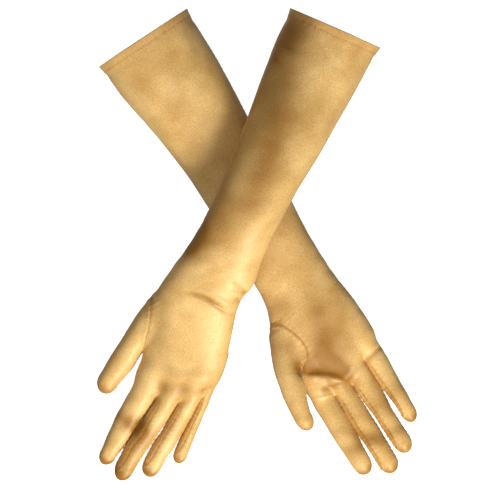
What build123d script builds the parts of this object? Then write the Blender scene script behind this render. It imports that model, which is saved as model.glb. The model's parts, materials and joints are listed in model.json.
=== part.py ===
from build123d import *
import math
import os
from typing import NamedTuple

# A pair of elbow-length stretch satin opera gloves, filled out as if worn and crossed in an X.
# The right glove lies palm up on the floor, and the left glove, back of the hand up, lies over it.
# +Z is up, +Y runs from the fingertips to the cuffs, and the floor is z = 0. Millimetres.

# Driving dimensions
WALL = 1.0                 # fabric, drawn a little heavier than the real satin
BODY_GAP = 0.6             # opening between two bodies that hinge on each other
CUFF_RADIUS = 43.0         # outside of the round cuff
HEM_DEPTH = 8.0            # turned hem at the mouth of the cuff
HEM_WALL = 2.0             # two layers of fabric in the hem
REST_FLAT = 0.3            # how much the underside is flattened where it rests
FOURCHETTE_HEIGHT = 9.0    # width of the strip between two fingers
FOURCHETTE_TIP_GAP = 9.0   # the strip stops this far short of the fingertip
THREAD = 0.8               # width of a stitched seam
SEAM_CLEARANCE = 0.1       # a seam's thread lies this far off the fabric
CAP_RATIO = 0.62           # length of a rounded fingertip over its width
CAP_STEPS = (0.0, 0.5, 0.8, 0.95, 0.995)
OVERSHOOT = 2.0            # how far a cutting shape runs past what it cuts
FLOOR_BOX = 600.0

PARTS = "parts"


class Section(NamedTuple):
    """An upright oval across a tube: its centre, its heading in plan and its size."""
    x: float
    y: float
    z: float
    heading: float
    width: float
    height: float


class Digit(NamedTuple):
    """A finger or a thumb from its base to its tip, with the length of the hand's stub under it."""
    base: tuple
    tip: tuple
    widths: tuple
    stub: float


class Glove(NamedTuple):
    """The plan of one glove: cuff, arm and palm stations, digits and thumb root."""
    side: str
    mouth: tuple
    mouth_heading: float
    arm: list
    wrist: Section
    palm: list
    fingers: dict
    thumb: Digit
    thumb_root: list
    thumb_seam: tuple


def on_floor(height):
    """Centre height of an oval of this height that rests on the floor."""
    return height / 2 - REST_FLAT


LEFT = Glove(
    side="left",
    mouth=(68.6, 190.5),
    mouth_heading=-113.0,
    arm=[
        Section(43.4, 137.9, 49.5, -115.0, 77.0, 74.0),
        Section(23.2, 95.9, 63.0, -115.5, 71.0, 60.0),
        Section(4.1, 56.4, 71.5, -116.0, 63.0, 51.0),
        Section(-13.6, 21.0, 70.5, -116.5, 60.0, 47.0),
        Section(-33.0, -17.0, 58.0, -116.5, 65.0, 46.0),
    ],
    wrist=Section(-48.0, -39.0, 48.0, -115.7, 68.0, 44.0),
    palm=[
        Section(-56.5, -71.0, 35.0, -104.6, 71.3, 40.0),
        Section(-64.2, -101.0, 26.5, -99.3, 73.4, 34.0),
        Section(-68.7, -123.0, 21.5, -95.0, 71.0, 28.0),
    ],
    fingers={
        "index": Digit((-95.7, -129.5, 19.0), (-134.0, -192.7, 9.5), (20.0, 19.0, 16.0), 8.0),
        "middle": Digit((-77.0, -137.0, 20.0), (-119.2, -206.5, 9.0), (16.5, 17.5, 15.0), 10.0),
        "ring": Digit((-56.0, -133.0, 19.0), (-93.9, -203.6, 9.0), (14.0, 17.0, 15.0), 16.0),
        "little": Digit((-38.5, -131.0, 17.0), (-68.0, -191.6, 8.0), (13.0, 14.0, 12.5), 8.0),
    },
    thumb=Digit((-112.8, -91.4, 21.0), (-137.5, -128.0, 10.0), (22.0, 21.0, 17.0), 0.0),
    thumb_root=[
        Section(-82.0, -42.0, 30.0, -122.0, 20.0, 24.0),
        Section(-97.0, -65.0, 27.0, -121.0, 26.0, 27.0),
        Section(-108.0, -84.0, 22.5, -122.0, 22.5, 23.0),
    ],
    thumb_seam=((-92.0, -45.0), (-100.4, -95.1)),
)

RIGHT = Glove(
    side="right",
    mouth=(-100.3, 181.7),
    mouth_heading=-55.6,
    arm=[
        Section(-80.2, 151.6, on_floor(80.0), -55.0, 85.0, 80.0),
        Section(-61.8, 126.6, on_floor(72.0), -55.0, 82.0, 72.0),
        Section(-34.7, 85.3, on_floor(56.0), -58.0, 72.0, 56.0),
        Section(-6.1, 36.0, on_floor(44.0), -60.0, 66.0, 44.0),
        Section(25.3, -18.4, on_floor(42.0), -60.2, 62.5, 42.0),
    ],
    wrist=Section(39.9, -41.6, on_floor(40.5), -60.2, 66.4, 40.5),
    palm=[
        Section(50.5, -62.0, 19.5, -60.5, 71.0, 38.0),
        Section(62.9, -82.9, 18.0, -61.2, 75.2, 34.0),
        Section(80.7, -117.3, 15.0, -51.4, 73.0, 27.0),
    ],
    fingers={
        "index": Digit((59.7, -136.4, 14.0), (95.3, -201.3, 18.0), (19.0, 19.0, 16.0), 8.0),
        "middle": Digit((76.4, -126.5, 14.5), (117.7, -200.7, 18.5), (18.5, 18.5, 16.0), 8.0),
        "ring": Digit((90.5, -111.7, 14.5), (129.4, -182.1, 18.0), (18.5, 18.0, 16.0), 13.0),
        "little": Digit((103.4, -97.6, 14.0), (136.0, -155.0, 17.0), (16.0, 15.5, 13.0), 8.0),
    },
    thumb=Digit((27.5, -115.0, 28.0), (42.0, -162.4, 35.0), (22.0, 21.0, 17.0), 0.0),
    thumb_root=[
        Section(27.0, -62.0, 20.0, -88.0, 20.0, 26.0),
        Section(25.0, -84.0, 21.5, -90.0, 26.0, 28.0),
        Section(26.6, -104.0, 23.0, -78.0, 24.0, 25.0),
    ],
    thumb_seam=((11.0, -68.0), (44.0, -107.0)),
)

# One glove is palm up and the other palm down, so on both the little finger is on the left of the
# heading and the thumb on the right.
SIDE_SIGN = {"little_side": 1, "thumb_side": -1}

# Which sides of each finger carry a fourchette strip: the names say what the side faces.
FOURCHETTES = {
    "index": ["little_side"],
    "middle": ["thumb_side", "little_side"],
    "ring": ["thumb_side", "little_side"],
    "little": ["thumb_side"],
}


def heading_vector(degrees):
    """Unit vector in plan for a heading."""
    return Vector(math.cos(math.radians(degrees)), math.sin(math.radians(degrees)), 0)


def lateral(degrees):
    """Unit vector in plan, square to a heading and to its left."""
    return heading_vector(degrees + 90)


def moved(section, distance):
    """The same section, shifted along its heading."""
    step = heading_vector(section.heading) * distance
    return section._replace(x=section.x + step.X, y=section.y + step.Y)


def oval(section, inset):
    """The face of one section, made smaller all round by inset."""
    plane = Plane(
        origin=(section.x, section.y, section.z),
        x_dir=lateral(section.heading),
        z_dir=heading_vector(section.heading),
    )
    return plane * Ellipse(section.width / 2 - inset, section.height / 2 - inset)


def tube(sections, inset=0.0):
    """A solid through the sections."""
    return loft([oval(section, inset) for section in sections])


def past_both_ends(sections):
    """Sections with the first and last moved outwards, for the hollow of an open tube."""
    return [moved(sections[0], -OVERSHOOT)] + sections[1:-1] + [moved(sections[-1], OVERSHOOT)]


def open_shell(sections):
    """A tube with a fabric wall, open at both ends."""
    return tube(sections) - tube(past_both_ends(sections), WALL)


def above_floor(shape):
    """The shape without what would be under the floor."""
    floor = Pos(0, 0, -FLOOR_BOX / 2) * Box(FLOOR_BOX, FLOOR_BOX, FLOOR_BOX)
    return shape - floor


def digit_heading(digit):
    """Heading of a digit in plan, in degrees."""
    return math.degrees(math.atan2(digit.tip[1] - digit.base[1], digit.tip[0] - digit.base[0]))


def digit_length(digit):
    """Length of a digit in plan, from its base to the end of its tip."""
    return math.dist(digit.base[:2], digit.tip[:2])


def digit_section(digit, distance, scale=1.0):
    """The oval of a digit at a distance from its base, before its rounded tip."""
    length = digit_length(digit)
    share = distance / length
    base, middle, end = digit.widths
    width = base + (middle - base) * share * 2 if share < 0.5 else middle + (end - middle) * (share * 2 - 1)
    x, y, z = (a + (b - a) * share for a, b in zip(digit.base, digit.tip))
    return Section(x, y, z, digit_heading(digit), width * scale, width * scale)


def digit_sections(digit, start, shorter=0.0):
    """Sections from start to the rounded tip."""
    length = digit_length(digit) - shorter
    cap = CAP_RATIO * digit.widths[2]
    straight = [start, (start + length - cap) / 2]
    sections = [digit_section(digit, distance) for distance in straight]
    for step in CAP_STEPS:
        scale = math.sqrt(1 - step * step)
        sections.append(digit_section(digit, length - cap + cap * step, scale))
    return sections


def closed_tip_tube(sections, inset):
    """A tube with a rounded tip, straight between ovals, its small last ones kept from vanishing."""
    faces = []
    for section in sections:
        usable = min(inset, section.width / 4)
        faces.append(oval(section, usable))
    return loft(faces, ruled=True)


def digit_shell(digit, start):
    """A finger's or thumb's fabric, open at its base and closed at its tip."""
    outer = closed_tip_tube(digit_sections(digit, start), 0.0)
    inner = digit_sections(digit, start, WALL)
    hollow = closed_tip_tube([moved(inner[0], -OVERSHOOT)] + inner[1:], WALL)
    return outer - hollow


def digit_plane(digit):
    """A frame at a digit's base: x towards the tip, y to the left, z upwards."""
    run = Vector(*digit.tip) - Vector(*digit.base)
    side = lateral(digit_heading(digit))
    return Plane(origin=digit.base, x_dir=run, z_dir=run.cross(side))


def fourchette_slab(digit, side_name, start):
    """The block that holds one fourchette strip along the side of a finger."""
    end = digit_length(digit) - FOURCHETTE_TIP_GAP
    reach = digit.widths[1]
    sign = SIDE_SIGN[side_name]
    block = Pos((start + end) / 2 - OVERSHOOT / 2, sign * reach / 2, 0) * Box(
        end - start + OVERSHOOT, reach, FOURCHETTE_HEIGHT
    )
    return digit_plane(digit) * block


def seam_lines(digit, side_names, start):
    """The two stitched lines that edge each fourchette strip of a finger."""
    sections = digit_sections(digit, start)
    band = closed_tip_tube(sections, -SEAM_CLEARANCE - THREAD) - closed_tip_tube(sections, -SEAM_CLEARANCE)
    end = digit_length(digit) - FOURCHETTE_TIP_GAP
    reach = digit.widths[0]
    bars = []
    for side_name in side_names:
        sign = SIDE_SIGN[side_name]
        for edge in (-1, 1):
            place = Pos((start + end) / 2, sign * reach / 2, edge * FOURCHETTE_HEIGHT / 2)
            bars.append(digit_plane(digit) * (place * Box(end - start - THREAD, reach, THREAD)))
    return [band & bar for bar in bars]


def side_seam(sections):
    """A stitched ridge along the little-finger side, past the widest point of each section."""
    rings = []
    for section in sections:
        offset = section.width / 2 + SEAM_CLEARANCE * 3 + THREAD / 2
        centre = Vector(section.x, section.y, section.z) + lateral(section.heading) * offset
        plane = Plane(origin=centre, x_dir=lateral(section.heading), z_dir=heading_vector(section.heading))
        rings.append(plane * Rectangle(THREAD, THREAD))
    return loft(rings)


def cuff_section(glove, depth, radius):
    """A round section of the cuff at a depth inside its mouth."""
    x, y = glove.mouth
    whole = Section(x, y, CUFF_RADIUS - REST_FLAT, glove.mouth_heading, radius * 2, radius * 2)
    return moved(whole, depth)


def cuff_ring(glove, depth, length, outer, inner):
    """A round band of the cuff, open at both ends."""
    start = cuff_section(glove, depth, outer)
    plane = Plane(
        origin=(start.x, start.y, start.z),
        x_dir=lateral(start.heading),
        z_dir=heading_vector(start.heading),
    )
    ring = extrude(plane * (Circle(outer) - Circle(inner)), amount=length)
    return above_floor(ring)


def arm_sections(glove):
    """Sections of the sleeve from the hem's edge to the wrist."""
    start = cuff_section(glove, HEM_DEPTH, CUFF_RADIUS)
    end = moved(glove.wrist, -BODY_GAP / 2)
    return [start] + glove.arm + [end]


def palm_sections(glove):
    """Sections of the hand from the wrist to the knuckles."""
    return [moved(glove.wrist, BODY_GAP / 2)] + glove.palm


def thumb_root_sections(glove):
    """Sections of the hand's thumb root, up to where the thumb hinges."""
    return glove.thumb_root + [moved(digit_section(glove.thumb, 0.0), -BODY_GAP / 2)]


def stub_sections(digit):
    """Sections of the short length of finger that belongs to the hand."""
    deep = digit.widths[0] * 0.8
    start = digit_section(digit, 0.0)._replace(
        width=digit.widths[0] * 0.94, height=digit.widths[0] * 0.94
    )
    return [moved(start, -deep), digit_section(digit, digit.stub - BODY_GAP / 2)]


def hand_shell(glove):
    """Palm and back of the hand, with the roots of the thumb and fingers, open at each."""
    palm = palm_sections(glove)
    outer = tube(palm) + tube(thumb_root_sections(glove))
    inner_palm = [moved(palm[0], -OVERSHOOT)] + palm[1:-1] + [moved(palm[-1], -WALL)]
    root = thumb_root_sections(glove)
    hollow = tube(inner_palm, WALL) + tube(root[:-1] + [moved(root[-1], OVERSHOOT)], WALL)
    for digit in glove.fingers.values():
        stub = stub_sections(digit)
        outer += tube(stub)
        hollow += tube([stub[0], moved(stub[1], OVERSHOOT)], WALL)
    return outer - hollow


def thumb_seam_line(glove):
    """The stitched line where the thumb is set into the hand, over and under the thumb's root."""
    root = thumb_root_sections(glove)
    band = tube(root, -SEAM_CLEARANCE - THREAD) - tube(root, -SEAM_CLEARANCE)
    band -= tube(palm_sections(glove), -SEAM_CLEARANCE)
    for digit in glove.fingers.values():
        band -= tube(stub_sections(digit), -SEAM_CLEARANCE)
    (x0, y0), (x1, y1) = glove.thumb_seam
    run = Vector(x1 - x0, y1 - y0, 0)
    plane = Plane(origin=((x0 + x1) / 2, (y0 + y1) / 2, 0), x_dir=run, z_dir=(0, 0, 1))
    wall = plane * Box(run.length, THREAD, 4 * CUFF_RADIUS)
    return band & wall


def save(shapes, name):
    """Write one sub-part."""
    if not isinstance(shapes, list):
        shapes = [shapes]
    solids = [solid for shape in shapes for solid in shape.solids()]
    export_step(Compound(children=solids), os.path.join(PARTS, name + ".step"))


def make_sleeve(glove):
    """Forearm tube with its turned hem, the hem's stitching and the side seam."""
    sections = arm_sections(glove)
    save(above_floor(open_shell(sections)), glove.side + "_sleeve")
    hem = cuff_ring(glove, 0.0, HEM_DEPTH, CUFF_RADIUS, CUFF_RADIUS - HEM_WALL)
    save(hem, glove.side + "_hem_band")
    inside = CUFF_RADIUS + SEAM_CLEARANCE
    stitching = cuff_ring(glove, HEM_DEPTH - 2 * THREAD, THREAD, inside + THREAD, inside)
    save(stitching, glove.side + "_hem_stitching")
    save(side_seam(sections), glove.side + "_sleeve_side_seam")


def make_hand(glove):
    """Palm and back of the hand, its side seam and the thumb's set-in seam."""
    save(above_floor(hand_shell(glove)), glove.side + "_hand")
    save(side_seam(palm_sections(glove)[:-1]), glove.side + "_hand_side_seam")
    save(thumb_seam_line(glove), glove.side + "_thumb_seam")


def make_finger(glove, name, digit):
    """One finger, its fourchette strips and the stitched lines along them."""
    start = digit.stub + BODY_GAP / 2
    shell = digit_shell(digit, start)
    finger = shell
    for side_name in FOURCHETTES[name]:
        slab = fourchette_slab(digit, side_name, start)
        save(shell & slab, f"{glove.side}_{name}_fourchette_{side_name}")
        finger -= slab
    save(finger, f"{glove.side}_{name}_finger")
    save(seam_lines(digit, FOURCHETTES[name], start), f"{glove.side}_{name}_seams")


def make_glove(glove):
    """All the sub-parts of one glove."""
    make_sleeve(glove)
    make_hand(glove)
    save(digit_shell(glove.thumb, BODY_GAP / 2), glove.side + "_thumb")
    for name, digit in glove.fingers.items():
        make_finger(glove, name, digit)


if __name__ == "__main__":
    os.makedirs(PARTS, exist_ok=True)
    for glove in (LEFT, RIGHT):
        make_glove(glove)
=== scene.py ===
"""A pair of gold satin opera gloves, filled out as if worn, lying crossed on a pale floor."""
import json
import math
from typing import NamedTuple

import bpy
import numpy as np
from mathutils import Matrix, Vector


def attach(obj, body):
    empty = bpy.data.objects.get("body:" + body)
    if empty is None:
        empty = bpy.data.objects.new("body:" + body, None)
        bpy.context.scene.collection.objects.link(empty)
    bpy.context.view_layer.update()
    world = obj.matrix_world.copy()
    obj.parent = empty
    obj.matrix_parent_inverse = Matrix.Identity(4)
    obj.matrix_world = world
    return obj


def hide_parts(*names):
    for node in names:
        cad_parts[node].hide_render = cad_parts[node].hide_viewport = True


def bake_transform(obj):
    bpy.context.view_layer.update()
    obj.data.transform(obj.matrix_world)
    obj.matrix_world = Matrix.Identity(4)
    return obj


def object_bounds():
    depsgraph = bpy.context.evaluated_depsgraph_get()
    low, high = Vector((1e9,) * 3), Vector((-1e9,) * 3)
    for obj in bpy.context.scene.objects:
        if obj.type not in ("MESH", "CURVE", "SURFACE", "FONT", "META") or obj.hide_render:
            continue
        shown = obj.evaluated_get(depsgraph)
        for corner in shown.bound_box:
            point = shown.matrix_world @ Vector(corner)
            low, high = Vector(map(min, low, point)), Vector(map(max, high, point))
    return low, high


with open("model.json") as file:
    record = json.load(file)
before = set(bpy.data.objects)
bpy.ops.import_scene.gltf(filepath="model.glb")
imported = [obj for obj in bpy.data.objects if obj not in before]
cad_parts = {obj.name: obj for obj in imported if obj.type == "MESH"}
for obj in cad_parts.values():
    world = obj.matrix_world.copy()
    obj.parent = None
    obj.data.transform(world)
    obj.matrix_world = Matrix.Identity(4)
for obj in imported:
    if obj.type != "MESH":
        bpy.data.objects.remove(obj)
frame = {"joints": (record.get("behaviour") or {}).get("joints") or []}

import openvdb

CAD_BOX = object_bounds()
MM = 0.001

# All sizes below are in millimetres, in each glove's own frame: along the hand from the wrist joint,
# across it towards the little finger, and up from the floor.
ARM_VOXEL = 1.7
HAND_VOXEL = 0.85
CLOTH = 0.5
HEM_CLOTH = 1.3
HEM_DEPTH = 8.0
HEM_PROUD = 0.35
STITCH_LINE = 6.6
WRIST_BORDER = 8.0
WRIST_BLEND = 28.0
FINGER_BLEND = 16.0
THUMB_BLEND = 18.0
MARGIN = 3.0
STRIP_HALF = 4.5
STRIP_END_GAP = 9.0
STRIP_TAPER = 11.0
GROOVE_WIDTH = 1.1
GROOVE_DEPTH = 0.32
PUCKER_PITCH = 4.6
MOUTH_LEAN = 0.1


class Tube(NamedTuple):
    """Stations along the hand: (along, across, half width, height of the middle, half height)."""

    stations: tuple
    tip: float
    cap: float
    power: float = 2.0


class Finger(NamedTuple):
    tube: Tube
    base: float
    roll: float
    strips: tuple


class Line(NamedTuple):
    """A fold on the upper side: its course in plan, half widths on its right and left, and height."""

    course: tuple
    width: float
    height: float
    left_width: float = 0.0


class Patch(NamedTuple):
    """A soft hill or hollow on the upper side: middle in plan, radii and height."""

    middle: tuple
    radii: tuple
    height: float


class PaintedShade(NamedTuple):
    """A soft band of painted shade, where the satin's sheen turns darker away from the light: its course in
    plan, half width and strength.
    """

    course: tuple
    width: float
    strength: float


class Glove(NamedTuple):
    side: str
    mouth: tuple
    mouth_turn: float
    body: tuple
    body_end: tuple
    fingers: dict
    thumb: Tube
    thumb_seam: tuple
    thumb_merge: tuple
    lines: tuple
    patches: tuple
    shades: tuple


THUMB_SIDE = "thumb_side"
LITTLE_SIDE = "little_side"
STRIPS = {
    "index": (LITTLE_SIDE,),
    "middle": (THUMB_SIDE, LITTLE_SIDE),
    "ring": (THUMB_SIDE, LITTLE_SIDE),
    "little": (THUMB_SIDE,),
}

# Body stations: (along, thumb edge, little-finger edge, lowest, highest).
LEFT = Glove(
    side="left",
    mouth=(-257.7, 5.5),
    mouth_turn=1.9,
    body=(
        (-285, -37.6, 49.5, -0.3, 85.5),
        (-250, -36.4, 47.2, -0.3, 85.7),
        (-225, -36.4, 45.8, 5, 86),
        (-199, -34.4, 44.2, 12.5, 86.5),
        (-152, -29.6, 41, 33, 93),
        (-108, -26, 37, 46, 97),
        (-69, -25.2, 35, 47, 94),
        (-41, -26.4, 36.2, 39.5, 86),
        (-25, -28.5, 38.4, 34.8, 80.6),
        (-6, -32, 34.8, 28, 72.2),
        (3, -33.6, 35.1, 25, 68.8),
        (18, -35.4, 38.8, 20, 61.7),
        (35, -33.6, 42.9, 14.3, 54),
        (52, -27.8, 47, 11, 47),
        (66, -25.3, 47.8, 9, 42.6),
        (80, -21.9, 47, 7.8, 37),
        (94, -20, 47.6, 7, 31),
    ),
    body_end=((-20, 97), (7, 100), (25, 95), (40, 78), (50, 70)),
    fingers={
        "index": Finger(
            Tube(
                (
                    (60, 2, 11, 26, 12),
                    (80, -6, 13, 22, 12.5),
                    (95, -7.2, 12.6, 20, 11.3),
                    (108, -7.3, 11.8, 18.5, 10),
                    (128, -9.3, 10.8, 15.5, 9),
                    (150, -11.3, 9.8, 12.5, 8.2),
                    (168, -12.6, 7.5, 10.5, 7),
                ),
                tip=179.2,
                cap=10,
            ),
            base=106,
            roll=10,
            strips=STRIPS["index"],
        ),
        "middle": Finger(
            Tube(
                (
                    (60, 15, 10, 27, 12),
                    (90, 15.5, 9.6, 21.5, 11),
                    (104, 14, 9.4, 19.5, 9.8),
                    (118, 12.2, 10, 17.5, 9.6),
                    (132, 10.6, 9.8, 15.5, 9.4),
                    (143, 8.9, 9.6, 14, 9),
                    (154, 6.9, 9, 12.3, 8.3),
                    (165, 6.5, 8.7, 10.5, 7.8),
                    (172, 6, 8.4, 10, 7.3),
                ),
                tip=185.4,
                cap=11,
            ),
            base=106,
            roll=45,
            strips=STRIPS["middle"],
        ),
        "ring": Finger(
            Tube(
                (
                    (55, 31, 9, 25, 11),
                    (80, 33, 8.4, 21, 10.6),
                    (99, 32, 8.1, 17.8, 9),
                    (113, 31.1, 8.5, 15.8, 8.6),
                    (124, 30, 8.5, 14, 8.4),
                    (138, 28.6, 8.9, 12, 8.2),
                    (150, 27.5, 8.5, 10.5, 7.6),
                    (160, 27.5, 8.4, 9.5, 7),
                ),
                tip=171.8,
                cap=10.5,
            ),
            base=101,
            roll=40,
            strips=STRIPS["ring"],
        ),
        "little": Finger(
            Tube(
                (
                    (45, 38, 8, 22, 10),
                    (66, 41.2, 6.2, 17, 9),
                    (82, 42.8, 5.3, 14, 8),
                    (97, 44.2, 5.3, 12, 7.6),
                    (108, 44.4, 5.4, 10.5, 7.3),
                    (118, 44.6, 5.8, 9.5, 7),
                    (131, 45, 6.2, 8, 6.4),
                    (140, 45.6, 6, 7.6, 6),
                ),
                tip=149.8,
                cap=8.5,
            ),
            base=83.5,
            roll=45,
            strips=STRIPS["little"],
        ),
    },
    thumb=Tube(
        (
            (10, -22, 8, 34, 12),
            (25, -26.8, 10.8, 31, 13),
            (45, -29.9, 13.2, 27, 13.5),
            (57, -32, 12.6, 24.5, 12.5),
            (68.6, -34.4, 11.3, 22, 11.5),
            (89, -36.9, 11.2, 17.5, 10.7),
            (100, -38.8, 10.3, 14.5, 10),
            (110, -40.8, 9.4, 12.5, 9),
        ),
        tip=122,
        cap=11.5,
    ),
    thumb_seam=((19, -62), (25, -37.5), (37, -32.3), (50.7, -27.8), (63.3, -25.6), (72, -23.7), (120, -23)),
    thumb_merge=(58, 78),
    lines=(
        Line(((7, -12), (4.7, 4), (8.4, 30)), 2.4, -1.7),
        Line(((1.4, -8), (-0.5, 6), (2.4, 30)), 2.8, 0.9),
        Line(((-236, -54), (-224, -34), (-220, -16)), 2.4, -0.5),
        Line(((-224, -60), (-211, -40), (-206, -24)), 2.4, -0.5),
        Line(((-212, -62), (-199, -44), (-192, -30)), 2.4, -0.4),
        Line(((-240, -10), (-226, 14), (-221, 34)), 2.6, -0.35),
        Line(((-17, 20), (-14, 40)), 2.2, -1.0),
        Line(((-10.5, 24), (-14, 40)), 2.2, -0.8),
        Line(((-5, 37), (-6, 28)), 3, -1.0),
        Line(((83.4, -5), (78, 22), (62, 44)), 6, 1.5),
        Line(((74, 46), (82, 38)), 2.0, -1.2),
    ),
    patches=(
        Patch((93, 3), (11, 7), -1.8),
        Patch((88, 21.5), (11, 6.5), -1.6),
        Patch((134, -9), (9, 9), -0.9),
        Patch((137, 9), (10, 9), -0.9),
        Patch((74, 1), (9, 7), -0.8),
    ),
    # Painted shade: bands where the satin's sheen turns darker away from the light, at fixed places.
    shades=(
        PaintedShade(((-238, -26), (-190, -14), (-130, 5), (-88, 2), (-60, -10), (-28, -24)), 15, 0.78),
        PaintedShade(((-262, -44), (-199, -34), (-150, -29), (-100, -26), (-30, -28)), 9, 0.6),
        PaintedShade(((26, -26), (44, -18), (60, -20)), 8, 0.25),
        PaintedShade(((133, -22), (136, -2)), 7, 0.5),
        PaintedShade(((134, 2), (140, 10), (186, 6)), 10, 0.75),
        PaintedShade(((122, 28), (126, 40)), 6, 0.3),
        PaintedShade(((92, 6), (88, 24), (80, 38)), 9, 0.15),
    ),
)

RIGHT = Glove(
    side="right",
    mouth=(-263.8, -10.7),
    mouth_turn=3.6,
    body=(
        (-290, -58.5, 33.3, -0.3, 85.7),
        (-255, -55, 35.5, -0.3, 85.7),
        (-227, -52, 36.5, -0.3, 79.7),
        (-196, -45.5, 36.7, -0.3, 71.7),
        (-147, -37.4, 35, -0.3, 55.7),
        (-90, -34.4, 33.3, -0.3, 43.7),
        (-49, -33.2, 30.9, -0.3, 42.3),
        (-27, -33.2, 31.1, -0.3, 41.7),
        (-6, -34, 32.1, -0.3, 40.5),
        (6, -37, 33.4, -0.3, 39.8),
        (14, -40, 34.6, 0, 39.2),
        (23, -42.4, 36, 0.2, 38.5),
        (47, -42, 38, 0.6, 35),
        (67, -41.5, 38.2, 1, 31.5),
        (86, -40, 37.2, 1.2, 28.5),
        (100, -38, 35, 1.2, 26),
    ),
    body_end=((-42, 86), (-20, 88.5), (-1, 89), (18, 75), (38, 66)),
    fingers={
        "index": Finger(
            Tube(
                (
                    (50, -27, 11, 17, 13),
                    (82, -29.5, 9.8, 15, 11.5),
                    (92, -30.4, 10.6, 14.5, 9.7),
                    (112, -30.4, 10.5, 15, 9.3),
                    (130, -30.1, 10, 16, 9.2),
                    (145, -29.9, 9.6, 17, 9),
                    (158, -29.2, 9, 17.5, 8.6),
                ),
                tip=168.3,
                cap=11.5,
            ),
            base=94,
            roll=20,
            strips=STRIPS["index"],
        ),
        "middle": Finger(
            Tube(
                (
                    (50, -10, 11, 18, 13),
                    (82, -11.2, 9.4, 15.5, 11.5),
                    (92, -11, 9.3, 14.8, 9.6),
                    (112, -10.5, 9.4, 15.3, 9.3),
                    (130, -10.1, 9.5, 16, 9.2),
                    (152, -9.4, 9.1, 17.5, 8.9),
                    (168, -8.8, 8.9, 18, 8.4),
                ),
                tip=179.4,
                cap=12,
            ),
            base=94.5,
            roll=20,
            strips=STRIPS["middle"],
        ),
        "ring": Finger(
            Tube(
                (
                    (50, 8, 11, 18, 13),
                    (80, 8.3, 9.3, 15.3, 11),
                    (92, 8, 10, 14.7, 9.6),
                    (112, 8.9, 10, 15.2, 9.2),
                    (130, 9.9, 8.6, 16, 9.1),
                    (150, 10.6, 8.2, 17.3, 8.6),
                    (159, 11.4, 8.3, 17.6, 8.3),
                ),
                tip=169.6,
                cap=10.5,
            ),
            base=94.5,
            roll=20,
            strips=STRIPS["ring"],
        ),
        "little": Finger(
            Tube(
                (
                    (45, 25, 10, 17, 12),
                    (68, 26.8, 9.6, 15, 10.5),
                    (80, 27.5, 9.8, 14.4, 9.2),
                    (92, 27.5, 9.5, 14.5, 8.6),
                    (104, 27.8, 8.7, 14.9, 8.2),
                    (120, 28.5, 7.7, 15.7, 7.8),
                    (139, 29.1, 7, 16.6, 7.1),
                ),
                tip=148.6,
                cap=9.5,
            ),
            base=82,
            roll=20,
            strips=STRIPS["little"],
        ),
    },
    thumb=Tube(
        (
            (2, -24, 9, 18, 9),
            (20, -32, 12.4, 20, 12),
            (37, -39.5, 13.3, 23, 13.8),
            (50, -44.3, 12.6, 26, 13),
            (60, -46.9, 11.6, 28.5, 11.8),
            (72.6, -49.5, 11.3, 30, 11),
            (84, -52.3, 9.5, 31.5, 10),
            (95, -54.2, 8.2, 33, 8.4),
        ),
        tip=108.4,
        cap=11.5,
    ),
    thumb_seam=(
        (9, -60),
        (10.6, -36),
        (16, -30),
        (24.4, -25.2),
        (35, -21.6),
        (44, -21.1),
        (52, -24),
        (58, -31),
    ),
    thumb_merge=(52, 60),
    lines=(
        Line(((60, -38), (63.5, -31), (67, -22), (72, -14.5), (79, -8), (90, -1.5)), 2.6, -1.5, 11.0),
        Line(((67, -34), (71, -25), (77, -17), (84, -11)), 4.2, 1.2),
        Line(((82, -29), (86, -19), (89, -8), (91, -3)), 3.4, -1.3, 3.4),
        Line(((87, -38), (92.3, -20)), 1.3, 0.7),
        Line(((75, 40), (80, 17)), 1.2, -1.2, 3.6),
        Line(((54, -33), (62, -37)), 2.2, -0.7),
    ),
    patches=(
        Patch((50, -4), (30, 22), -0.8),
        Patch((61, 27), (16, 9), 1.4),
        Patch((146, -30), (7, 9), -0.7),
        Patch((124, -30), (7, 8), 0.5),
        Patch((140, -10), (9, 9), -0.8),
        Patch((117, 9), (9, 9), -0.5),
        Patch((147, 9), (6, 8), -0.6),
        Patch((18, -6), (14, 18), 1.0),
    ),
    # Painted shade: bands where the satin's sheen turns darker away from the light, at fixed places.
    shades=(
        PaintedShade(((24, 2), (48, -2), (66, -12)), 23, 0.62),
        PaintedShade(((56, -34), (61, -20), (72, -8), (84, 0)), 8, 0.55),
        PaintedShade(((-12, -30), (2, -18)), 9, 0.35),
        PaintedShade(((24, -46), (34, -36)), 9, 0.3),
        PaintedShade(((-255, -16), (-170, -6), (-90, -4)), 24, 0.22),
        PaintedShade(((124, -36), (127, -26)), 6, 0.25),
        PaintedShade(((140, -36), (143, -24)), 6, 0.4),
        PaintedShade(((118, -16), (122, -6)), 6, 0.35),
        PaintedShade(((134, -18), (150, -6)), 7, 0.55),
        PaintedShade(((120, 5), (123, 18)), 7, 0.35),
        PaintedShade(((146, 6), (149, 16)), 6, 0.35),
        PaintedShade(((118, 22), (122, 34)), 6, 0.25),
    ),
)


class Place:
    """Turns a glove's own millimetres into the frame's metres, from its wrist joint in the record."""

    def __init__(self, side):
        joint = next(j for j in frame["joints"] if j["name"] == f"{side}_wrist_fold")
        turn_x, turn_y, _ = joint["axis"]
        self.axes = np.array(((-turn_y, turn_x, 0), (-turn_x, -turn_y, 0), (0, 0, 1)))
        self.origin = np.array((joint["pos_m"][0], joint["pos_m"][1], 0))

    def world(self, points):
        spots = np.asarray(points) @ self.axes * MM + self.origin
        spots[..., 2] = np.maximum(spots[..., 2], 0)
        return spots

    def point(self, along, across, up):
        return tuple(self.world((along, across, up)))


# ---- smooth profiles and fields ----


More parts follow.
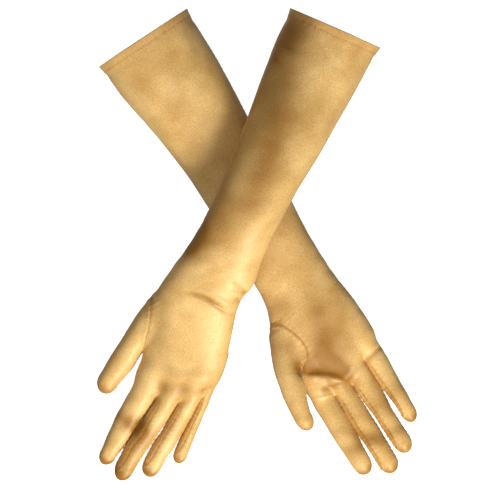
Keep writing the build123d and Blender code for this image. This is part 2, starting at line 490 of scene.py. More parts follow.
def profile(at, stations, column):
    """A smooth curve through one column of the stations, level beyond both ends."""
    table = np.array(stations, float)
    x = table[:, 0]
    y = table[:, column]
    slope = np.gradient(y, x)
    at = np.clip(at, x[0], x[-1])
    i = np.clip(np.searchsorted(x, at) - 1, 0, len(x) - 2)
    step = x[i + 1] - x[i]
    u = (at - x[i]) / step
    start = y[i] * (1 + 2 * u) * (1 - u) ** 2 + slope[i] * step * u * (1 - u) ** 2
    finish = y[i + 1] * u * u * (3 - 2 * u) - slope[i + 1] * step * u * u * (1 - u)
    return start + finish


def smooth_step(x, low, high):
    u = np.clip((x - low) / (high - low), 0, 1)
    return u * u * (3 - 2 * u)


def smooth_min(a, b, reach):
    near = np.maximum(reach - np.abs(a - b), 0) / reach
    return np.minimum(a, b) - near * near * reach / 4


def smooth_max(a, b, reach):
    return -smooth_min(-a, -b, reach)


def oval_field(parts, sizes, power):
    """About the distance to an oval of these half sizes, for offsets along its axes."""
    shares = [np.abs(part) / size for part, size in zip(parts, sizes)]
    reach = sum(share**power for share in shares) ** (1 / power) + 1e-6
    slope = sum(((share / reach) ** (power - 1) / size) ** 2 for share, size in zip(shares, sizes))
    return (reach - 1) / np.sqrt(slope + 1e-9)


def tube_field(tube, s, t, z):
    across = t - profile(s, tube.stations, 1)
    up = z - profile(s, tube.stations, 3)
    past = np.maximum(s - (tube.tip - tube.cap), 0)
    before = np.maximum(tube.stations[0][0] - s, 0)
    half_width = profile(s, tube.stations, 2)
    half_height = profile(s, tube.stations, 4)
    return oval_field((across, up, past + before), (half_width, half_height, tube.cap), tube.power)


def body_oval(glove, s):
    """Middle across, half width, middle height and half height of the arm or palm at s."""
    thumb_edge = profile(s, glove.body, 1)
    little_edge = profile(s, glove.body, 2)
    low = profile(s, glove.body, 3)
    high = profile(s, glove.body, 4)
    return (thumb_edge + little_edge) / 2, (little_edge - thumb_edge) / 2, (low + high) / 2, (high - low) / 2


def body_field(glove, s, t, z):
    middle, half_width, height, half_height = body_oval(glove, s)
    walls = oval_field((t - middle, z - height), (half_width, half_height), 2.15)
    end = s - profile(t, glove.body_end, 1)
    return smooth_max(walls, end, 9.0)


def thumb_reach(glove, s):
    """How softly the thumb runs into the hand: widely at its root, sharply past the fold."""
    return 0.6 + 7.4 * (1 - smooth_step(s, *glove.thumb_merge))


def hand_field(glove, s, t, z):
    fingers = None
    for finger in glove.fingers.values():
        stub = np.maximum(tube_field(finger.tube, s, t, z), s - finger.base - MARGIN)
        fingers = stub if fingers is None else np.minimum(fingers, stub)
    hand = smooth_min(body_field(glove, s, t, z), fingers, 6.0)
    thumb = tube_field(glove.thumb, s, t, z) + 7.0 * (1 - smooth_step(s, WRIST_BORDER + 1, WRIST_BORDER + 13))
    return smooth_min(hand, thumb, thumb_reach(glove, s))


def finger_field(glove, finger, s, t, z):
    return smooth_min(body_field(glove, s, t, z), tube_field(finger.tube, s, t, z), 6.0)


# ---- skins: triangle meshes with normals ----


class Skin(NamedTuple):
    points: np.ndarray
    normals: np.ndarray
    triangles: np.ndarray
    fold: np.ndarray


def point_normals(points, triangles):
    a, b, c = (points[triangles[:, i]] for i in range(3))
    face = np.cross(b - a, c - a)
    total = np.zeros_like(points)
    for corner in range(3):
        for axis in range(3):
            total[:, axis] += np.bincount(triangles[:, corner], face[:, axis], len(points))
    return total / (np.linalg.norm(total, axis=1, keepdims=True) + 1e-12)


def even_out(values, triangles, rounds):
    """Averages a per-point value with its neighbours."""
    ends = np.concatenate((triangles[:, (0, 1)], triangles[:, (1, 2)], triangles[:, (2, 0)]))
    count = np.bincount(ends.ravel(), minlength=len(values))[:, None] + 1e-9
    for _ in range(rounds):
        total = np.zeros_like(values)
        for axis in range(values.shape[1]):
            total[:, axis] += np.bincount(ends[:, 0], values[ends[:, 1], axis], len(values))
            total[:, axis] += np.bincount(ends[:, 1], values[ends[:, 0], axis], len(values))
        values = (values + total / count) / 2
    return values


def mesh_field(field, low, high, voxel):
    """The surface where the field is zero, as points and triangles."""
    axes = [np.arange(a, b, voxel) for a, b in zip(low, high)]
    s, t, z = np.meshgrid(*axes, indexing="ij", sparse=True)
    values = np.clip(field(s, t, z), -3 * voxel, 3 * voxel)
    grid = openvdb.FloatGrid(3 * voxel)
    grid.copyFromArray(np.ascontiguousarray(values, dtype=np.float32))
    grid.transform = openvdb.createLinearTransform(voxelSize=voxel)
    points, quads = grid.convertToQuads(isovalue=0.0)
    triangles = np.concatenate((quads[:, (0, 1, 2)], quads[:, (0, 2, 3)])).astype(np.int64)
    return points.astype(float) + np.array([axis[0] for axis in axes]), triangles


def make_skin(field, low, high, voxel, relief):
    """Meshes a field, then moves its points along their normals by the relief."""
    points, triangles = mesh_field(field, low, high, voxel)
    normals = point_normals(points, triangles)
    height, fold = relief(points, normals)
    points = points + normals * height[:, None]
    normals = even_out(point_normals(points, triangles), triangles, 1)
    normals /= np.linalg.norm(normals, axis=1, keepdims=True)
    return Skin(points, normals, triangles, fold)


def kept(skin, triangles):
    """The skin with only these triangles and the points that they use."""
    used, renumbered = np.unique(triangles, return_inverse=True)
    return Skin(skin.points[used], skin.normals[used], renumbered.reshape(-1, 3), skin.fold[used])


def split(skin, values):
    """Cuts a skin where values is zero: the part below, the part above, and the cut as line pieces."""
    values = np.where(np.abs(values) < 0.03, 0.03, values)
    below = values < 0
    tri = skin.triangles
    count = below[tri].sum(1)
    mixed = tri[(count == 1) | (count == 2)]
    minority = np.where(below[mixed].sum(1) == 1, True, False)
    odd = np.argmax(below[mixed] == minority[:, None], axis=1)
    rows = np.arange(len(mixed))
    a, b, c = (mixed[rows, (odd + i) % 3] for i in range(3))
    pairs = np.sort(np.concatenate((np.stack((a, b), 1), np.stack((a, c), 1))), axis=1)
    crossed, where = np.unique(pairs, axis=0, return_inverse=True)
    where = where.ravel()
    first, second = crossed[:, 0], crossed[:, 1]
    share = (values[first] / (values[first] - values[second]))[:, None]
    points = skin.points[first] * (1 - share) + skin.points[second] * share
    normals = skin.normals[first] * (1 - share) + skin.normals[second] * share
    normals /= np.linalg.norm(normals, axis=1, keepdims=True)
    fold = skin.fold[first] * (1 - share[:, 0]) + skin.fold[second] * share[:, 0]
    whole = Skin(
        np.concatenate((skin.points, points)),
        np.concatenate((skin.normals, normals)),
        tri,
        np.concatenate((skin.fold, fold)),
    )
    p = where[: len(mixed)] + len(skin.points)
    q = where[len(mixed) :] + len(skin.points)
    tips = np.stack((a, p, q), 1)
    rests = np.concatenate((np.stack((p, b, c), 1), np.stack((p, c, q), 1)))
    rest_below = np.concatenate((~minority, ~minority))
    low = np.concatenate((tri[count == 3], tips[minority], rests[rest_below]))
    high = np.concatenate((tri[count == 0], tips[~minority], rests[~rest_below]))
    cut = (points, normals, np.stack((p, q), 1) - len(skin.points))
    return kept(whole, low), kept(whole, high), cut


def paths_of(cut):
    """Chains the cut's line pieces into paths of (points, normals), open or closed."""
    points, normals, ends = cut
    links = {}
    for a, b in ends.tolist():
        if a != b:
            links.setdefault(a, []).append(b)
            links.setdefault(b, []).append(a)
    starts = sorted(links, key=lambda n: (len(links[n]) != 1, n))
    seen = set()
    paths = []
    for start in starts:
        if start in seen:
            continue
        path = [start]
        seen.add(start)
        while True:
            following = [n for n in links[path[-1]] if n not in seen]
            if not following:
                break
            path.append(following[0])
            seen.add(following[0])
        if len(path) > 2 and path[0] in links[path[-1]]:
            path.append(path[0])
        if len(path) > 4:
            paths.append((points[path], normals[path]))
    return paths


def even_path(path, pitch):
    """Points, normals and directions at even steps along a path."""
    points, normals = path
    steps = np.linalg.norm(np.diff(points, axis=0), axis=1)
    run = np.concatenate(((0,), np.cumsum(steps)))
    at = np.arange(pitch / 2, run[-1], pitch)
    spots = np.stack([np.interp(at, run, points[:, i]) for i in range(3)], 1)
    ups = np.stack([np.interp(at, run, normals[:, i]) for i in range(3)], 1)
    ahead = np.stack([np.interp(at + 0.8, run, points[:, i]) for i in range(3)], 1)
    behind = np.stack([np.interp(at - 0.8, run, points[:, i]) for i in range(3)], 1)
    way = ahead - behind
    way /= np.linalg.norm(way, axis=1, keepdims=True) + 1e-9
    ups -= way * (ups * way).sum(1, keepdims=True)
    ups /= np.linalg.norm(ups, axis=1, keepdims=True) + 1e-9
    return spots, ups, way


# ---- relief: folds, hollows and puckers ----


def line_distance(course, s, t):
    """Distance in plan to a line of points, more than zero on its left, and the share of its run there."""
    best = np.full(s.shape, 1e6)
    run_at = np.zeros(s.shape)
    side = np.ones(s.shape)
    run = 0.0
    for (s0, t0), (s1, t1) in zip(course, course[1:]):
        ds, dt = s1 - s0, t1 - t0
        length = math.hypot(ds, dt)
        u = np.clip(((s - s0) * ds + (t - t0) * dt) / length**2, 0, 1)
        distance = np.hypot(s - s0 - u * ds, t - t0 - u * dt)
        nearer = distance < best
        run_at = np.where(nearer, run + u * length, run_at)
        side = np.where(nearer, np.sign(ds * (t - t0) - dt * (s - s0)), side)
        best = np.minimum(best, distance)
        run += length
    return best * side, run_at / run


def ripples(seed, points, wavelength, count=9):
    """Soft uneven waves of about this wavelength, between about -1 and 1."""
    draw = np.random.default_rng(seed)
    total = np.zeros(len(points))
    for _ in range(count):
        way = draw.normal(size=3)
        way /= np.linalg.norm(way)
        length = wavelength * draw.uniform(0.7, 1.6)
        total += np.sin(points @ way * (2 * math.pi / length) + draw.uniform(0, 2 * math.pi))
    return total / math.sqrt(count)


def groove(distance, run):
    """A stitched seam: a narrow valley between two puckered edges."""
    valley = -GROOVE_DEPTH * np.exp(-((distance / GROOVE_WIDTH) ** 2))
    edge = np.exp(-(((np.abs(distance) - 2.0) / 1.5) ** 2))
    return valley + edge * (0.1 + 0.17 * np.sin(run * (2 * math.pi / PUCKER_PITCH)))


def upper_side(normals):
    return smooth_step(normals[:, 2], 0.0, 0.45)


def common_relief(glove, points, normals):
    """Folds and hollows that the photographed side of the glove has, and a slight unevenness all over."""
    s, t = points[:, 0], points[:, 1]
    upper = upper_side(normals)
    height = 0.16 * ripples(3, points, 34.0) + 0.07 * ripples(4, points, 13.0)
    # fold is the amount of painted shade that the satin mixes in as a deeper colour: in sunken creases and
    # hollows, in painted bands of darker sheen, plus a little random tone.
    fold = np.zeros(len(points))
    for line in glove.lines:
        distance, run = line_distance(line.course, s, t)
        width = np.where(distance > 0, line.left_width or line.width, line.width)
        ends = smooth_step(run, -0.12, 0.25) * (1 - smooth_step(run, 0.75, 1.12))
        shape = np.exp(-((distance / width) ** 2)) * upper * ends
        height += line.height * shape
        # Creases that sink get painted shade.
        fold += np.clip(-line.height / 2.2, 0, 1) * shape
    for patch in glove.patches:
        off_s = (s - patch.middle[0]) / patch.radii[0]
        off_t = (t - patch.middle[1]) / patch.radii[1]
        shape = np.exp(-(off_s**2 + off_t**2)) * upper
        height += patch.height * shape
        # Hollows get painted shade.
        fold += np.clip(-patch.height / 3.0, 0, 0.9) * shape
    # Painted bands of darker sheen.
    for shade in glove.shades:
        distance = line_distance(shade.course, s, t)[0]
        fold += shade.strength * np.exp(-((distance / shade.width) ** 2)) * upper
    fold += 0.1 * ripples(21, points, 22.0)
    return height, fold


def mouth_distance(glove, points):
    """Distance in from the plane of the cuff's mouth."""
    turn = math.radians(glove.mouth_turn)
    along = points[:, 0] - glove.mouth[0]
    across = points[:, 1] - glove.mouth[1]
    lean = MOUTH_LEAN * (points[:, 2] - glove.body[0][4] / 2)
    return along * math.cos(turn) + across * math.sin(turn) - lean


def round_angle(glove, points):
    middle, half_width, height, half_height = body_oval(glove, points[:, 0])
    return np.arctan2((points[:, 2] - height) / half_height, (points[:, 1] - middle) / half_width)


def arm_relief(glove):
    def relief(points, normals):
        height, fold = common_relief(glove, points, normals)
        inward = mouth_distance(glove, points)
        angle = round_angle(glove, points)
        flare = 0.6 * np.exp(-((inward / 4.0) ** 2)) - 0.25 * np.exp(-(((inward - 11.5) / 3.0) ** 2))
        corner = 0.5 + 0.9 * np.abs(np.cos(angle)) ** 3
        pucker = np.sin(angle * 46 + 2.2 * np.sin(angle * 7)) * np.exp(-(((inward - STITCH_LINE) / 2.6) ** 2))
        height += flare * corner + 0.22 * pucker
        height -= 0.35 * np.exp(-(((inward - STITCH_LINE) / 1.0) ** 2))
        seam_off = angle * (body_oval(glove, points[:, 0])[3])
        height += groove(seam_off, points[:, 0]) * 0.8
        drift = points[:, 0] * 0.9 + points[:, 1] * 0.6
        slack = np.exp(-((points[:, 0] + 10) / 26) ** 2)
        height += 0.15 * slack * np.sin(drift * (2 * math.pi / 15.0) + 1.5 * np.sin(points[:, 1] / 9.0))
        return height, fold

    return relief


def thumb_border(glove, points):
    """Below zero on the thumb's panel, above zero on the hand, about in millimetres."""
    s, t, z = points[:, 0], points[:, 1], points[:, 2]
    table = np.array(glove.thumb_seam, float)
    seam = np.interp(s, table[:, 0], table[:, 1])
    slope = np.gradient(table[:, 1], table[:, 0])
    tilt = np.interp(s, table[:, 0], slope)
    plan = (t - seam) / np.sqrt(1 + tilt**2)
    plan = np.where(s < table[0, 0], 20.0, plan)
    thumb = tube_field(glove.thumb, s, t, z)
    body = body_field(glove, s, t, z)
    for finger in glove.fingers.values():
        body = np.minimum(body, tube_field(finger.tube, s, t, z))
    nearer = np.clip(thumb - body, -12, 12)
    mix = smooth_step(s, *glove.thumb_merge)
    return plan * (1 - mix) + nearer * mix


def hand_relief(glove):
    def relief(points, normals):
        height, fold = common_relief(glove, points, normals)
        s = points[:, 0]
        border = thumb_border(glove, points)
        along = 1 - smooth_step(s, glove.thumb_merge[0], glove.thumb_merge[1])
        height += groove(border, s + points[:, 2]) * along * 0.8
        height += 0.3 * np.exp(-(((border + 1.8) / 1.4) ** 2)) * along
        # Painted shade along the thumb seam's groove.
        fold += 0.6 * np.exp(-((border / 0.7) ** 2)) * along
        angle = round_angle(glove, points)
        side = angle * body_oval(glove, s)[3]
        height += groove(side, s) * 0.8 * (1 - smooth_step(s, 60, 72))
        # Painted shade on the thumb's tip, where the cloth curves away from the light.
        past = smooth_step(s, glove.thumb.tip - glove.thumb.cap, glove.thumb.tip)
        thumb_tip = past * (border < 0)
        fold += 0.75 * thumb_tip
        return height, fold

    return relief


def strip_centre(side_name, roll):
    """Angle of a side strip's middle, from the top towards the thumb side."""
    return math.radians(90 - roll) if side_name == THUMB_SIDE else math.radians(-90 - roll)


def strip_border(finger, side_name, points):
    """Below zero on the strip, above zero off it, in millimetres round the finger."""
    s, t, z = points[:, 0], points[:, 1], points[:, 2]
    tube = finger.tube
    half_width = profile(s, tube.stations, 2)
    half_height = profile(s, tube.stations, 4)
    across = (t - profile(s, tube.stations, 1)) / half_width
    up = (z - profile(s, tube.stations, 3)) / half_height
    radius = (half_width + half_height) / 2
    angle = np.arctan2(-across, up)
    off = np.abs((angle - strip_centre(side_name, finger.roll) + math.pi) % (2 * math.pi) - math.pi)
    end = tube.tip - STRIP_END_GAP
    left = np.clip((end - s) / STRIP_TAPER, 0, 1)
    width = np.where(s < end, STRIP_HALF * np.sqrt(left), 0)
    border = off * radius - width
    return np.where(s < end, border, np.hypot(off * radius, s - end))


def finger_relief(glove, finger):
    def relief(points, normals):
        height, fold = common_relief(glove, points, normals)
        s = points[:, 0]
        ramp = smooth_step(s, finger.base + 1, finger.base + 8)
        height += ramp * 0.28 * ripples(11, points, 17.0)
        for side_name in finger.strips:
            border = strip_border(finger, side_name, points)
            height += groove(border, s) * ramp
            # Painted shade along the fourchette seams' grooves.
            fold += (0.5 + 0.25 * ripples(31, points, 6.0)) * np.exp(-((border / 0.8) ** 2)) * ramp
        tube = finger.tube
        # Painted shade on the fingertip, where the cloth curves away from the light.
        fold += 0.85 * smooth_step(s, tube.tip - 11, tube.tip - 3)
        return height, fold

    return relief


# ---- materials ----


def rgb(red, green, blue):
    """A colour given as it looks on a screen, from 0 to 255."""
    shades = [c / 255 for c in (red, green, blue)]
    return tuple(((c + 0.055) / 1.055) ** 2.4 if c > 0.04 else c / 12.92 for c in shades) + (1.0,)


def satin(name, light, middle, shade_colour, roughness, sheen):
    """Satin with a fine diagonal weave, slow colour drift, and painted shade: a deeper colour mixed in by the
    fold attribute.
    """
    material = bpy.data.materials.new(name)
    material.use_nodes = True
    nodes, links = material.node_tree.nodes, material.node_tree.links
    shader = nodes["Principled BSDF"]
    shader.inputs["Roughness"].default_value = roughness
    shader.inputs["Sheen Weight"].default_value = sheen
    shader.inputs["Sheen Roughness"].default_value = 0.5
    shader.inputs["Sheen Tint"].default_value = rgb(255, 228, 170)
    shader.inputs["Specular IOR Level"].default_value = 0.6
    shader.inputs["Specular Tint"].default_value = rgb(255, 238, 200)
    place = nodes.new("ShaderNodeTexCoord")

    drift = nodes.new("ShaderNodeTexNoise")
    drift.inputs["Scale"].default_value = 30.0
    drift.inputs["Detail"].default_value = 3.0
    links.new(place.outputs["Object"], drift.inputs["Vector"])
    ramp = nodes.new("ShaderNodeValToRGB")
    ramp.color_ramp.elements[0].position = 0.3
    ramp.color_ramp.elements[0].color = middle
    ramp.color_ramp.elements[1].position = 0.7
    ramp.color_ramp.elements[1].color = light
    links.new(drift.outputs["Fac"], ramp.inputs["Fac"])

    grain = nodes.new("ShaderNodeTexNoise")
    grain.inputs["Scale"].default_value = 1000.0
    grain.inputs["Detail"].default_value = 2.0
    links.new(place.outputs["Object"], grain.inputs["Vector"])
    shades = nodes.new("ShaderNodeValToRGB")
    shades.color_ramp.elements[0].position = 0.35
    shades.color_ramp.elements[0].color = (0.66, 0.63, 0.58, 1)
    shades.color_ramp.elements[1].position = 0.65
    shades.color_ramp.elements[1].color = (1, 1, 1, 1)
    links.new(grain.outputs["Fac"], shades.inputs["Fac"])

    # The fold attribute mixes in painted shade: a deeper colour in folds, hollows, seams, fingertips and
    # painted bands of darker sheen.
    fold = nodes.new("ShaderNodeAttribute")
    fold.attribute_name = "fold"
    shade_mix = nodes.new("ShaderNodeMix")
    shade_mix.data_type = "RGBA"
    links.new(fold.outputs["Fac"], shade_mix.inputs["Factor"])
    links.new(ramp.outputs["Color"], shade_mix.inputs["A"])
    shade_mix.inputs["B"].default_value = shade_colour
    speckle = nodes.new("ShaderNodeMix")
    speckle.data_type = "RGBA"
    speckle.blend_type = "MULTIPLY"
    speckle.inputs["Factor"].default_value = 0.8
    links.new(shade_mix.outputs["Result"], speckle.inputs["A"])
    links.new(shades.outputs["Color"], speckle.inputs["B"])
    links.new(speckle.outputs["Result"], shader.inputs["Base Color"])

    weave = nodes.new("ShaderNodeTexWave")
    weave.wave_type = "BANDS"
    weave.bands_direction = "DIAGONAL"
    weave.inputs["Scale"].default_value = 420.0
    weave.inputs["Distortion"].default_value = 1.2
    links.new(place.outputs["Object"], weave.inputs["Vector"])
    mixed = nodes.new("ShaderNodeMath")
    mixed.operation = "ADD"
    links.new(weave.outputs["Fac"], mixed.inputs[0])
    links.new(grain.outputs["Fac"], mixed.inputs[1])
    bump = nodes.new("ShaderNodeBump")
    bump.inputs["Strength"].default_value = 0.14
    bump.inputs["Distance"].default_value = 0.00012
    links.new(mixed.outputs["Value"], bump.inputs["Height"])
    links.new(bump.outputs["Normal"], shader.inputs["Normal"])
    return material


def thread_material():
    """Twisted polyester thread, a shade deeper than the satin."""
    material = bpy.data.materials.new("thread")
    material.use_nodes = True
    nodes, links = material.node_tree.nodes, material.node_tree.links
    shader = nodes["Principled BSDF"]
    shader.inputs["Roughness"].default_value = 0.5
    place = nodes.new("ShaderNodeTexCoord")
    twist = nodes.new("ShaderNodeTexWave")
    twist.inputs["Scale"].default_value = 900.0
    links.new(place.outputs["Object"], twist.inputs["Vector"])
    ramp = nodes.new("ShaderNodeValToRGB")
    ramp.color_ramp.elements[0].color = rgb(150, 102, 44)
    ramp.color_ramp.elements[1].color = rgb(204, 156, 88)
    links.new(twist.outputs["Fac"], ramp.inputs["Fac"])
    links.new(ramp.outputs["Color"], shader.inputs["Base Color"])
    bump = nodes.new("ShaderNodeBump")
    bump.inputs["Strength"].default_value = 0.3
    bump.inputs["Distance"].default_value = 0.0001
    links.new(twist.outputs["Fac"], bump.inputs["Height"])
    links.new(bump.outputs["Normal"], shader.inputs["Normal"])
    return material


# The deeper colour of the painted shade that the fold attribute mixes into the satin.
PAINTED_SHADE_COLOUR = rgb(150, 98, 20)
SATIN = satin("satin", rgb(232, 192, 124), rgb(210, 165, 95), PAINTED_SHADE_COLOUR, 0.47, 0.12)
# The fourchette satin is a darker copy of the same cloth: painted shade on the sides of the fingers.
SHADED_STRIP_SATIN = satin("satin_fourchette", rgb(218, 170, 100), rgb(204, 154, 82), PAINTED_SHADE_COLOUR, 0.46, 0.12)
HEM_SATIN = satin("satin_hem", rgb(224, 180, 112), rgb(212, 164, 94), PAINTED_SHADE_COLOUR, 0.45, 0.12)
THREAD = thread_material()


# ---- pieces ----


def build_mesh(name, points, triangles, corner_normals, fold, material):
    mesh = bpy.data.meshes.new(name)
    mesh.vertices.add(len(points))
    mesh.vertices.foreach_set("co", np.ascontiguousarray(points, np.float32).ravel())
    mesh.loops.add(3 * len(triangles))
    mesh.loops.foreach_set("vertex_index", np.ascontiguousarray(triangles, np.int32).ravel())
    mesh.polygons.add(len(triangles))
    mesh.polygons.foreach_set("loop_start", np.arange(0, 3 * len(triangles), 3, dtype=np.int32))
    mesh.update(calc_edges=True)
    mesh.shade_smooth()
    if corner_normals is not None:
        mesh.normals_split_custom_set(corner_normals.reshape(-1, 3).astype(np.float32))
    shade = mesh.attributes.new("fold", "FLOAT", "POINT")
    shade.data.foreach_set("value", np.ascontiguousarray(fold, np.float32))
    mesh.materials.append(material)
    piece = bpy.data.objects.new(name, mesh)
    bpy.context.scene.collection.objects.link(piece)
    return piece


def open_edges(triangles):
    """Edges that only one triangle has, in the direction in which it runs them."""
    ends = np.concatenate((triangles[:, (0, 1)], triangles[:, (1, 2)], triangles[:, (2, 0)]))
    keys = np.sort(ends, axis=1)
    _, where, count = np.unique(keys, axis=0, return_index=True, return_counts=True)
    return ends[where[count == 1]]


def cloth_piece(name, place, skin, thickness, material):
    """A closed piece of cloth of this thickness with the skin as its outer face."""
    count = len(skin.points)
    points = np.concatenate((skin.points, skin.points - skin.normals * thickness))
    rim = open_edges(skin.triangles)
    a, b = rim[:, 0], rim[:, 1]
    rim_faces = np.concatenate((np.stack((b, a, a + count), 1), np.stack((b, a + count, b + count), 1)))
    triangles = np.concatenate((skin.triangles, skin.triangles[:, ::-1] + count, rim_faces))
    corners = points[rim_faces]
    flat = np.cross(corners[:, 1] - corners[:, 0], corners[:, 2] - corners[:, 0])
    flat /= np.linalg.norm(flat, axis=1, keepdims=True) + 1e-12
    normals = np.concatenate(
        (
            skin.normals[skin.triangles],
            -skin.normals[skin.triangles[:, ::-1]],
            np.repeat(flat[:, None, :], 3, axis=1),
        )
    )
    # The inner face gets more painted shade than the outer, for the shade inside the glove.
    fold = np.clip(np.concatenate((skin.fold, skin.fold + 0.25)), 0, 1)
    piece = build_mesh(name, place.world(points), triangles, normals @ place.axes, fold, material)
    return piece


def bead_form(half_length, radius, sides=6):
    """Points and triangles of one stitch, along x and lying in z up."""
    rings = [(-0.92, 0.42), (-0.6, 0.85), (0, 1), (0.6, 0.85), (0.92, 0.42)]
    points = [(-half_length, 0, 0)]
    for along, size in rings:
        for k in range(sides):
            angle = 2 * math.pi * k / sides
            width = size * radius
            points.append((along * half_length, math.cos(angle) * width, math.sin(angle) * width))
    points.append((half_length, 0, 0))
    last = len(points) - 1
    triangles = []
    for k in range(sides):
        following = (k + 1) % sides
        triangles.append((0, 1 + following, 1 + k))
        for ring in range(len(rings) - 1):
            a = 1 + ring * sides
            triangles.append((a + k, a + following, a + sides + following))
            triangles.append((a + k, a + sides + following, a + sides + k))
        a = 1 + (len(rings) - 1) * sides
        triangles.append((a + k, a + following, last))
    return np.array(points), np.array(triangles)


def stitches_piece(name, place, paths, pitch=2.3, length=1.7, radius=0.17, sink=0.07):
    """A row of separate stitches along each path."""
    form, faces = bead_form(length / 2, radius)
    points = []
    triangles = []
    total = 0
    for path in paths:
        spots, ups, way = even_path(path, pitch)
        sideways = np.cross(ups, way)
        for spot, up, ahead, aside in zip(spots, ups, way, sideways):
            points.append(form @ np.array((ahead, aside, up)) + spot + up * (radius - sink))
            triangles.append(faces + total)
            total += len(form)
    points = np.concatenate(points)
    triangles = np.concatenate(triangles)
    piece = build_mesh(name, place.world(points), triangles, None, np.zeros(len(points)), THREAD)
    return piece


def cut_at(skin, distance):
    below, above, cut = split(skin, distance)
    return below, above, paths_of(cut)


def side_path(glove, low, high):
    """The closing seam's course along the little-finger side of the arm or palm."""
    s = np.arange(low, high, 1.0)
    middle, half_width, height, _ = body_oval(glove, s)
    points = np.stack((s, middle + half_width - GROOVE_DEPTH * 0.5, height), 1)
    normals = np.tile((0.0, 1.0, 0.0), (len(s), 1))
    return points, normals


def on_skin(skin, path):
    """Moves a path's points onto the nearest points of a skin."""
    points, normals = path
    spots = []
    ups = []
    for point in points:
        near = np.argmin(((skin.points - point) ** 2).sum(1))
        spots.append(skin.points[near])
        ups.append(skin.normals[near])
    spots = np.array(spots)
    ease = np.array((0.25, 0.5, 0.25))
    for axis in range(3):
        spots[1:-1, axis] = np.convolve(spots[:, axis], ease, "valid")
    return spots, np.array(ups)


def make_arm(glove, place):
    side = glove.side
    forearm, palm = f"{side}_forearm", f"{side}_palm"
    low = (glove.mouth[0] - 14, min(b[1] for b in glove.body) - 6, -6)
    high = (WRIST_BORDER + 8, max(b[2] for b in glove.body) + 6, 104)
    skin = make_skin(
        lambda s, t, z: body_field(glove, s, t, z), low, high, ARM_VOXEL, arm_relief(glove)
    )
    skin, _, _ = cut_at(skin, skin.points[:, 0] - WRIST_BORDER)
    _, skin, _ = cut_at(skin, mouth_distance(glove, skin.points))
    hem, sleeve, _ = cut_at(skin, mouth_distance(glove, skin.points) - HEM_DEPTH)
    _, _, stitch_paths = cut_at(hem, mouth_distance(glove, hem.points) - STITCH_LINE)

    start = place.point(WRIST_BORDER - WRIST_BLEND, 0, 0)
    end = place.point(WRIST_BORDER, 0, 0)
    piece = cloth_piece(f"{side}_sleeve_panel", place, sleeve, CLOTH, SATIN)
    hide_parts(f"{side}_sleeve")
    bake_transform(piece)

    proud = hem._replace(points=hem.points + hem.normals * HEM_PROUD)
    band = cloth_piece(f"{side}_hem", place, proud, HEM_CLOTH, HEM_SATIN)
    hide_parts(f"{side}_hem_band")
    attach(band, forearm)

    lifted = [(points + normals * HEM_PROUD, normals) for points, normals in stitch_paths]
    thread = stitches_piece(f"{side}_hem_thread", place, lifted, pitch=2.9, length=2.2)
    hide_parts(f"{side}_hem_stitching")
    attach(thread, forearm)

    seam_path = on_skin(sleeve, side_path(glove, glove.mouth[0] + HEM_DEPTH + 2, WRIST_BORDER))
    seam = stitches_piece(f"{side}_sleeve_seam", place, [seam_path])
    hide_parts(f"{side}_sleeve_side_seam")
    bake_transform(seam)


def finger_base_distance(glove, points):
    """Distance past the base plane of the finger that each point belongs to."""
    s, t, z = points[:, 0], points[:, 1], points[:, 2]
    best = np.full(len(points), 1e6)
    base = np.full(len(points), 1e3)
    for finger in glove.fingers.values():
        near = np.maximum(tube_field(finger.tube, s, t, z), s - finger.base - MARGIN)
        base = np.where(near < best, finger.base, base)
        best = np.minimum(best, near)
    on_thumb = tube_field(glove.thumb, s, t, z) < best
    return np.where(on_thumb, -20.0, s - base)


def make_hand(glove, place):
    side = glove.side
    palm, digit = f"{side}_palm", f"{side}_thumb_digit"
    reach = max(glove.thumb.tip, max(f.base for f in glove.fingers.values()) + MARGIN)
    edge = min(row[1] - row[2] for row in glove.thumb.stations)
    low = (WRIST_BORDER - MARGIN, edge - 4, -6)
    high = (reach + MARGIN, max(b[2] for b in glove.body if b[0] > 0) + 5, 76 if side == "left" else 50)
    skin = make_skin(lambda s, t, z: hand_field(glove, s, t, z), low, high, HAND_VOXEL, hand_relief(glove))
    _, skin, _ = cut_at(skin, skin.points[:, 0] - WRIST_BORDER)
    skin, _, _ = cut_at(skin, finger_base_distance(glove, skin.points))
    thumb, hand, seam_paths = cut_at(skin, thumb_border(glove, skin.points))

    piece = cloth_piece(f"{side}_hand_panel", place, hand, CLOTH, SATIN)
    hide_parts(f"{side}_hand")
    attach(piece, palm)

    root = glove.thumb_merge[1]
    middle = profile(np.array((root, root + THUMB_BLEND)), glove.thumb.stations, 1)
    start = place.point(root, middle[0], 0)
    end = place.point(root + THUMB_BLEND, middle[1], 0)
    panel = cloth_piece(f"{side}_thumb_panel", place, thumb, CLOTH, SATIN)
    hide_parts(f"{side}_thumb")
    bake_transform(panel)

    seam = stitches_piece(f"{side}_thumb_stitches", place, seam_paths)
    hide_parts(f"{side}_thumb_seam")
    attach(seam, palm)

    closing = on_skin(hand, side_path(glove, WRIST_BORDER, 70))
    side_seam = stitches_piece(f"{side}_hand_seam", place, [closing])
    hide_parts(f"{side}_hand_side_seam")
    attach(side_seam, palm)


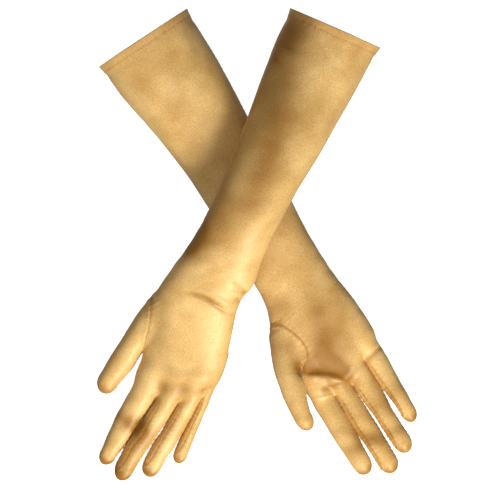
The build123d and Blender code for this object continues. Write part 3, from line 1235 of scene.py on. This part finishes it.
def make_finger(glove, place, name):
    side = glove.side
    finger = glove.fingers[name]
    tube = finger.tube
    rows = [row for row in tube.stations if row[0] > finger.base - 30]
    low = (
        finger.base - MARGIN,
        min(row[1] - row[2] for row in rows) - 5,
        min(row[3] - row[4] for row in rows) - 4,
    )
    high = (
        tube.tip + 3,
        max(row[1] + row[2] for row in rows) + 5,
        max(row[3] + row[4] for row in rows) + 6,
    )
    relief = finger_relief(glove, finger)
    skin = make_skin(lambda s, t, z: finger_field(glove, finger, s, t, z), low, high, HAND_VOXEL, relief)
    near = tube_field(tube, *skin.points.T) < 3.0
    skin = kept(skin, skin.triangles[near[skin.triangles].all(1)])
    _, skin, _ = cut_at(skin, skin.points[:, 0] - finger.base)

    middle = profile(np.array((finger.base + 1, finger.base + 1 + FINGER_BLEND)), tube.stations, 1)
    start = place.point(finger.base + 1, middle[0], 0)
    end = place.point(finger.base + 1 + FINGER_BLEND, middle[1], 0)
    seams = []
    for side_name in finger.strips:
        strip, skin, paths = cut_at(skin, strip_border(finger, side_name, skin.points))
        seams += paths
        node = f"{side}_{name}_fourchette_{side_name}"
        piece = cloth_piece(f"{node}_strip", place, strip, CLOTH, SHADED_STRIP_SATIN)
        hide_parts(node)
        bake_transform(piece)
    panel = cloth_piece(f"{side}_{name}_panels", place, skin, CLOTH, SATIN)
    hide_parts(f"{side}_{name}_finger")
    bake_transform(panel)
    thread = stitches_piece(f"{side}_{name}_stitches", place, seams)
    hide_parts(f"{side}_{name}_seams")
    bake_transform(thread)


for glove in (RIGHT, LEFT):
    place = Place(glove.side)
    make_arm(glove, place)
    make_hand(glove, place)
    for finger_name in glove.fingers:
        make_finger(glove, place, finger_name)


# ---- floor, light and camera ----


def make_floor():
    size = 6.0
    mesh = bpy.data.meshes.new("floor")
    half = size / 2
    level = CAD_BOX[0][2] - 0.0004
    corners = [(x * half, y * half, level) for x, y in ((-1, -1), (1, -1), (1, 1), (-1, 1))]
    mesh.from_pydata(corners, [], [(0, 1, 2, 3)])
    floor = bpy.data.objects.new("floor", mesh)
    bpy.context.scene.collection.objects.link(floor)
    material = bpy.data.materials.new("floor")
    material.use_nodes = True
    nodes, links = material.node_tree.nodes, material.node_tree.links
    shader = nodes["Principled BSDF"]
    shader.inputs["Roughness"].default_value = 0.9
    noise = nodes.new("ShaderNodeTexNoise")
    noise.inputs["Scale"].default_value = 3.0
    ramp = nodes.new("ShaderNodeValToRGB")
    ramp.color_ramp.elements[0].color = (0.93, 0.93, 0.93, 1)
    ramp.color_ramp.elements[1].color = (0.96, 0.96, 0.96, 1)
    links.new(noise.outputs["Fac"], ramp.inputs["Fac"])
    links.new(ramp.outputs["Color"], shader.inputs["Base Color"])
    shader.inputs["Emission Color"].default_value = (1, 1, 1, 1)
    shader.inputs["Emission Strength"].default_value = 0.9
    mesh.materials.append(material)
    floor.visible_diffuse = False
    floor.visible_glossy = False


def make_light(name, spot, size, power):
    data = bpy.data.lights.new(name, "AREA")
    data.size = size
    data.energy = power
    light = bpy.data.objects.new(name, data)
    bpy.context.scene.collection.objects.link(light)
    light.location = spot
    aim = Vector((0, 0, 0.03)) - Vector(spot)
    light.rotation_euler = aim.to_track_quat("-Z", "Y").to_euler()


def make_world():
    world = bpy.data.worlds.new("studio")
    bpy.context.scene.world = world
    world.use_nodes = True
    background = world.node_tree.nodes["Background"]
    background.inputs["Color"].default_value = (1, 1, 1, 1)
    background.inputs["Strength"].default_value = 0.25


def make_camera():
    data = bpy.data.cameras.new("camera")
    data.lens = 180
    frame_width = 0.440
    level = 0.035
    camera = bpy.data.objects.new("camera", data)
    bpy.context.scene.collection.objects.link(camera)
    middle_x = (CAD_BOX[0][0] + CAD_BOX[1][0]) / 2
    middle_y = (CAD_BOX[0][1] + CAD_BOX[1][1]) / 2
    height = level + frame_width * data.lens / data.sensor_width
    camera.location = (middle_x - 0.0052, middle_y - 0.004, height)
    bpy.context.scene.camera = camera


make_floor()
make_light("key", (0.42, -1.15, 0.85), 0.6, 31.0)
make_light("fill", (-0.5, -0.2, 1.4), 1.0, 5.5)
make_world()
make_camera()
bpy.context.scene.view_settings.view_transform = "Standard"
